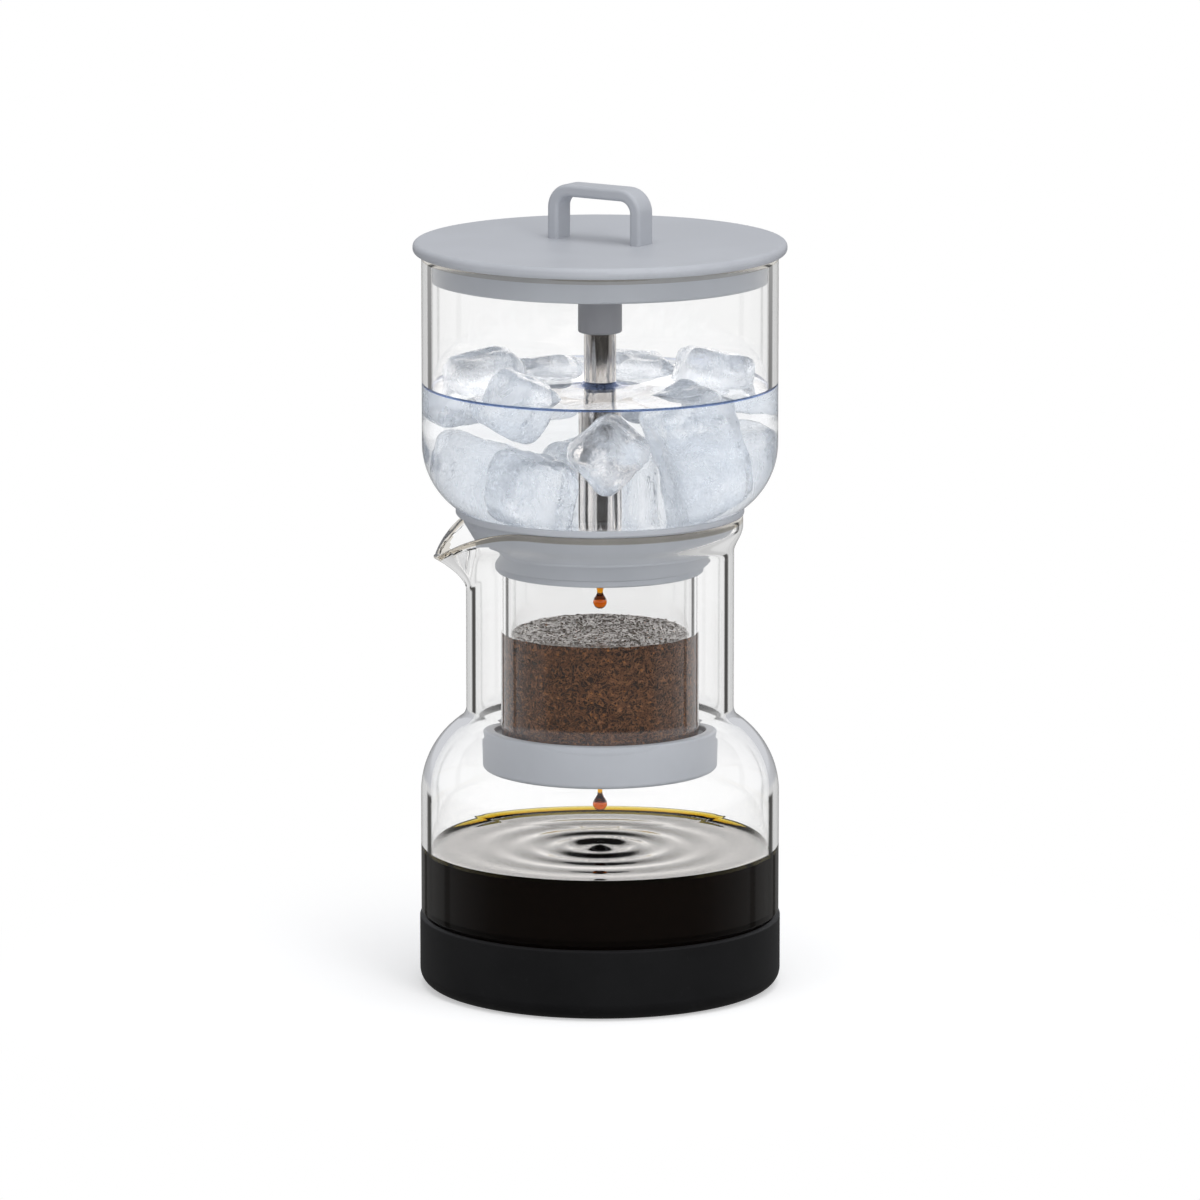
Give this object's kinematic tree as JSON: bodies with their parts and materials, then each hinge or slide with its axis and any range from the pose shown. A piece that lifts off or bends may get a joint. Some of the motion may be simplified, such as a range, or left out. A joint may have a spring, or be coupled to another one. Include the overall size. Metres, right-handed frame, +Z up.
{
  "type": "cold brew coffee maker",
  "caption": "Cold brew drip coffee maker: glass drip tower with lid and drip valve in the neck of a spouted glass carafe.",
  "frame": {"origin": "centre of the flat underside of the base sleeve", "axes": "+Z up along the common axis of carafe and tower, pouring spout towards -X, front towards -Y"},
  "size_m": [0.1248, 0.1248, 0.2711],
  "materials": {
    "base_silicone": "matte",
    "silicone": "satin",
    "carafe_glass": "gloss",
    "tower_glass": "gloss",
    "steel": "satin",
    "coffee": "gloss",
    "coffee_drop": "gloss",
    "grounds": "matte",
    "water": "gloss",
    "ice": "gloss"
  },
  "bodies": {
    "carafe": {"base_sleeve": "base_silicone", "carafe_glass": "carafe_glass", "brewed_coffee": "coffee"},
    "tower": {"tower_glass": "tower_glass", "carafe_seal": "silicone", "valve_seat": "silicone", "water": "water", "coffee_grounds": "grounds", "ice_left_back": "ice", "ice_left_front": "ice", "ice_right_front": "ice", "ice_right_back": "ice", "ice_back_right": "ice", "ice_back_left": "ice", "ice_middle_front": "ice", "ice_low_front": "ice", "ice_low_back": "ice", "ice_low_left": "ice", "ice_low_right": "ice"},
    "lid": {"lid_disc": "silicone", "lid_handle": "silicone"},
    "valve": {"valve_tube": "steel", "valve_knob": "silicone", "drip_nozzle": "silicone", "upper_drop": "coffee_drop"},
    "filter": {"filter_ring": "silicone", "mesh_frame": "steel", "filter_mesh": "steel", "lower_drop": "coffee_drop"}
  },
  "joints": [
    {"name": "tower_lift", "type": "slide", "parent": "carafe", "child": "tower", "axis": [0, 0, 1], "range_m": [0, 0.11]},
    {"name": "lid_lift", "type": "slide", "parent": "tower", "child": "lid", "axis": [0, 0, 1], "range_m": [0, 0.06]},
    {"name": "valve_turn", "type": "hinge", "parent": "tower", "child": "valve", "pos_m": [0, 0, 0.16], "axis": [0, 0, 1], "range_deg": [-90, 90]},
    {"name": "filter_pull", "type": "slide", "parent": "tower", "child": "filter", "axis": [0, 0, -1], "range_m": [0, 0.01]}
  ]
}
